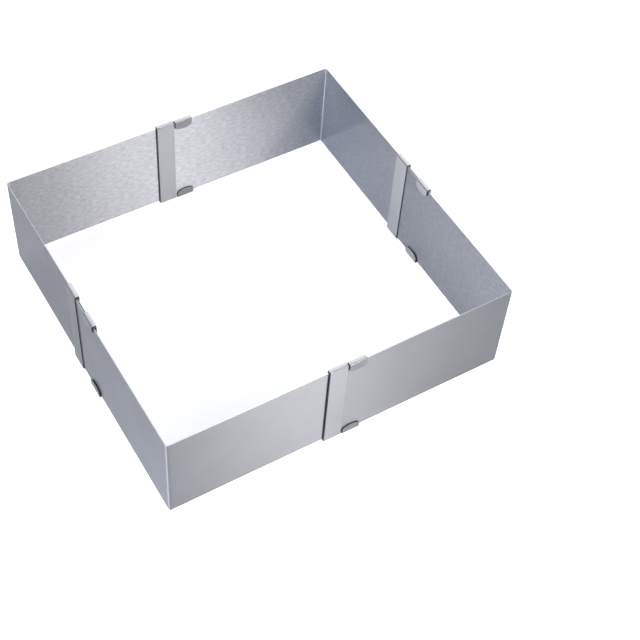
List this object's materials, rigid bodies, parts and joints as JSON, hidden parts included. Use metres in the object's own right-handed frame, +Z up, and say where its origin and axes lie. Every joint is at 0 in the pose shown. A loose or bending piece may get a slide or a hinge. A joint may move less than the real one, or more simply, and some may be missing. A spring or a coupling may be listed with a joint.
{
  "type": "adjustable cake frame",
  "caption": "Square bottomless cake frame of bent steel corner sheets that telescope into one another under folded end straps, so its width and depth can be set.",
  "frame": {"origin": "centre of the footprint, on the surface that the frame stands on", "axes": "+X to the right along the front wall, +Y to the rear, +Z up; the front wall faces -Y"},
  "size_m": [0.2746, 0.2614, 0.083],
  "materials": {
    "sheet_steel": "satin stainless sheet",
    "strap_steel": "satin stainless strip"
  },
  "bodies": {
    "front_left_corner": {"front_left_corner_sheet": "sheet_steel", "front_left_inner_arm_strap": "strap_steel", "front_left_outer_arm_strap": "strap_steel"},
    "front_right_corner": {"front_right_corner_sheet": "sheet_steel", "front_right_inner_arm_strap": "strap_steel", "front_right_outer_arm_strap": "strap_steel"},
    "rear_left_corner": {"rear_left_corner_sheet": "sheet_steel", "rear_left_inner_arm_strap": "strap_steel", "rear_left_outer_arm_strap": "strap_steel"},
    "rear_right_corner": {"rear_right_corner_sheet": "sheet_steel", "rear_right_inner_arm_strap": "strap_steel", "rear_right_outer_arm_strap": "strap_steel"}
  },
  "joints": [
    {"name": "width_slide", "type": "slide", "parent": "front_left_corner", "child": "front_right_corner", "axis": [1, 0, 0], "range_m": [-0.1186, 0.0007]},
    {"name": "depth_slide_left", "type": "slide", "parent": "front_left_corner", "child": "rear_left_corner", "axis": [0, 1, 0], "range_m": [-0.1053, 0.014]},
    {"name": "depth_slide_right", "type": "slide", "parent": "front_right_corner", "child": "rear_right_corner", "axis": [0, 1, 0], "range_m": [-0.1053, 0.014]}
  ],
  "couplings": [
    {"joint": "depth_slide_right", "follows": "depth_slide_left", "ratio": 1}
  ]
}
